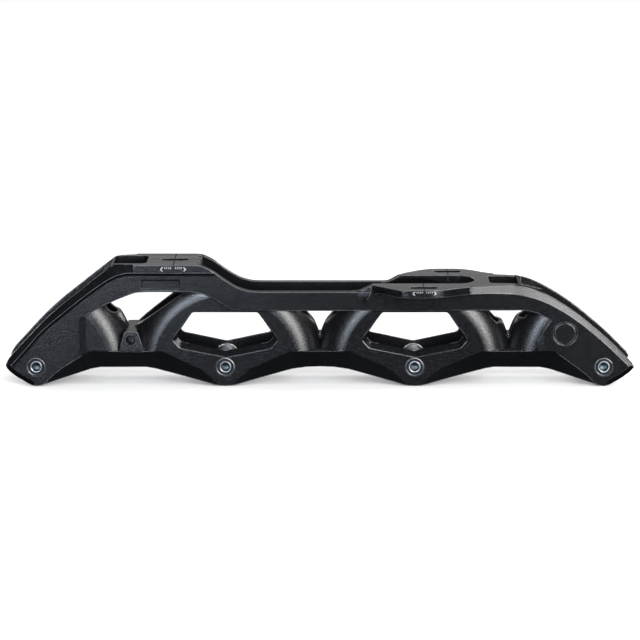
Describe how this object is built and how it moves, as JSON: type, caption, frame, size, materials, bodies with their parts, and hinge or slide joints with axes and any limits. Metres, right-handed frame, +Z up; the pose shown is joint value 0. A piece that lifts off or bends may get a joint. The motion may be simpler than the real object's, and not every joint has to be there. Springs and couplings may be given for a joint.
{
  "type": "inline skate frame",
  "caption": "Cast inline skate frame with wheel bays between two side plates, guards that curl round the wheels, a slotted three-point boot mount and removable wheel axles.",
  "frame": {"origin": "on the surface the frame stands on, under the middle of the four axles and on the centre plane between the side plates", "axes": "+X from heel to toe, +Y to the skater's left, +Z up towards the boot"},
  "size_m": [0.3546, 0.065, 0.0697],
  "materials": {
    "casting": "satin black powder coat on cast aluminium, bare where machined",
    "axle_steel": "zinc plated steel",
    "insert_steel": "plain steel"
  },
  "bodies": {
    "frame": {"right_side_plate": "casting", "left_side_plate": "casting", "heel_deck": "casting", "toe_deck": "casting", "heel_end_bridge": "casting", "toe_end_bridge": "casting", "rear_guard_bridge": "casting", "middle_guard_bridge": "casting", "front_guard_bridge": "casting", "brake_bridge": "casting", "axle_insert_1": "insert_steel", "axle_insert_2": "insert_steel", "axle_insert_3": "insert_steel", "axle_insert_4": "insert_steel", "brake_insert_right": "insert_steel", "brake_insert_left": "insert_steel"},
    "axle_1": {"axle_1": "axle_steel"},
    "axle_2": {"axle_2": "axle_steel"},
    "axle_3": {"axle_3": "axle_steel"},
    "axle_4": {"axle_4": "axle_steel"}
  },
  "joints": [
    {"name": "axle_1_withdraw", "type": "slide", "parent": "frame", "child": "axle_1", "axis": [0, -1, 0], "range_m": [0, 0.036]},
    {"name": "axle_2_withdraw", "type": "slide", "parent": "frame", "child": "axle_2", "axis": [0, -1, 0], "range_m": [0, 0.036]},
    {"name": "axle_3_withdraw", "type": "slide", "parent": "frame", "child": "axle_3", "axis": [0, -1, 0], "range_m": [0, 0.036]},
    {"name": "axle_4_withdraw", "type": "slide", "parent": "frame", "child": "axle_4", "axis": [0, -1, 0], "range_m": [0, 0.036]}
  ]
}
